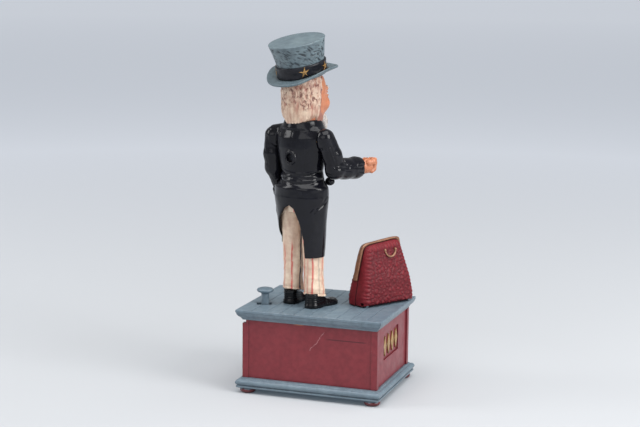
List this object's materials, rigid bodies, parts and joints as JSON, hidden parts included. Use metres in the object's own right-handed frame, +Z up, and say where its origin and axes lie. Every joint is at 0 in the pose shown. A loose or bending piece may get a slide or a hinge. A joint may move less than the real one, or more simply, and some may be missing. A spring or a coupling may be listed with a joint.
{
  "type": "mechanical coin bank",
  "caption": "Toy mechanical coin bank: a standing figure in a top hat lowers a hand with a coin over a travelling bag that opens on the deck of a footed box, worked by a push button.",
  "frame": {"origin": "centre of the footprint, on the surface that the feet stand on", "axes": "+Z up, -Y the front of the box, +X towards the push button's end"},
  "size_m": [0.121, 0.1024, 0.2875],
  "materials": {
    "blue_grey_paint": "satin enamel, worn at the edges",
    "crimson_paint": "satin enamel",
    "gilt_paint": "dull gilt paint",
    "steel": "drawn wire, lightly oiled",
    "dark_screw": "black enamel over steel",
    "bare_iron": "as cast, oiled",
    "brass": "turned",
    "coat_black": "gloss enamel",
    "trouser_cream": "satin enamel with a brown wash, hand-painted stripes",
    "shoe_black": "gloss enamel",
    "hair_cream": "satin enamel with a brown wash",
    "flesh_paint": "satin enamel",
    "eye_paint": "gloss enamel",
    "band_navy": "satin enamel",
    "umbrella_green": "satin enamel",
    "umbrella_wood": "brown enamel",
    "bag_red": "satin enamel over a crinkled casting",
    "bag_gold": "dull bronze paint"
  },
  "bodies": {
    "bank": {"base_plate": "blue_grey_paint", "foot_front_left": "crimson_paint", "foot_front_right": "crimson_paint", "foot_back_left": "crimson_paint", "foot_back_right": "crimson_paint", "front_panel": "crimson_paint", "back_panel": "crimson_paint", "bag_end_panel": "crimson_paint", "button_end_panel": "crimson_paint", "bag_end_ornament": "gilt_paint", "button_end_ornament": "gilt_paint", "front_ornament": "gilt_paint", "deck": "blue_grey_paint", "case_screws": "steel", "hatch_screws": "steel", "rocker_pin": "steel", "return_spring": "steel", "shoulder_bush": "brass", "left_arm": "coat_black", "left_hand": "flesh_paint", "umbrella": "umbrella_green", "umbrella_handle": "umbrella_wood", "figure_front_half": "coat_black", "figure_back_half": "coat_black", "back_screw": "dark_screw", "right_shoe": "shoe_black", "left_shoe": "shoe_black", "figure_screws": "steel", "jaw_pin": "steel", "hat": "blue_grey_paint", "hat_band": "band_navy", "hat_stars": "gilt_paint", "bag_inner_half": "bag_red", "bag_frame": "bag_gold", "bag_hinge_pin": "steel", "bag_screws": "steel"},
    "rocker": {"rocker_lever": "bare_iron", "press_button": "blue_grey_paint", "button_rivet": "steel", "rod_drive_pin": "steel"},
    "arm_rod": {"arm_rod": "steel"},
    "arm": {"right_arm": "coat_black", "right_hand": "flesh_paint", "arm_shaft": "steel", "arm_crank": "bare_iron", "crank_pin": "steel"},
    "jaw": {"jaw": "hair_cream"},
    "bag_outer": {"bag_outer_half": "bag_red", "bag_handle": "bag_gold"},
    "hatch": {"coin_hatch": "bare_iron"}
  },
  "joints": [
    {"name": "lever_rock", "type": "hinge", "parent": "bank", "child": "rocker", "pos_m": [-0.00837, 0.00165, 0.052], "axis": [-0.3387, 0.9409, 0], "range_deg": [0, 7], "stiffness_Nm_per_rad": 1.8, "springref_deg": -5.16, "deforming": ["return_spring"]},
    {"name": "rod_slide", "type": "slide", "parent": "bank", "child": "arm_rod", "axis": [0, 0, -1], "range_m": [0, 0.0022]},
    {"name": "arm_swing", "type": "hinge", "parent": "bank", "child": "arm", "pos_m": [0.01825, 0.01936, 0.204], "axis": [0.9511, -0.309, 0], "range_deg": [0, 26.2]},
    {"name": "jaw_wag", "type": "hinge", "parent": "bank", "child": "jaw", "pos_m": [0.01538, 0.0119, 0.226], "axis": [0.8988, -0.4384, 0], "range_deg": [-7.6, 0]},
    {"name": "bag_open", "type": "hinge", "parent": "bank", "child": "bag_outer", "pos_m": [-0.04578, -0.01488, 0.071], "axis": [0.5299, 0.848, 0], "range_deg": [-19, 0]},
    {"name": "hatch_swivel", "type": "hinge", "parent": "bank", "child": "hatch", "pos_m": [-0.0035, 0, 0.0032], "axis": [0, 0, 1], "range_deg": [0, 80]}
  ],
  "couplings": [
    {"joint": "rod_slide", "follows": "lever_rock", "m_per_rad": 0.01774},
    {"joint": "arm_swing", "follows": "lever_rock", "ratio": 3.7384},
    {"joint": "jaw_wag", "follows": "lever_rock", "ratio": -1.0852},
    {"joint": "bag_open", "follows": "lever_rock", "ratio": -2.7138}
  ]
}
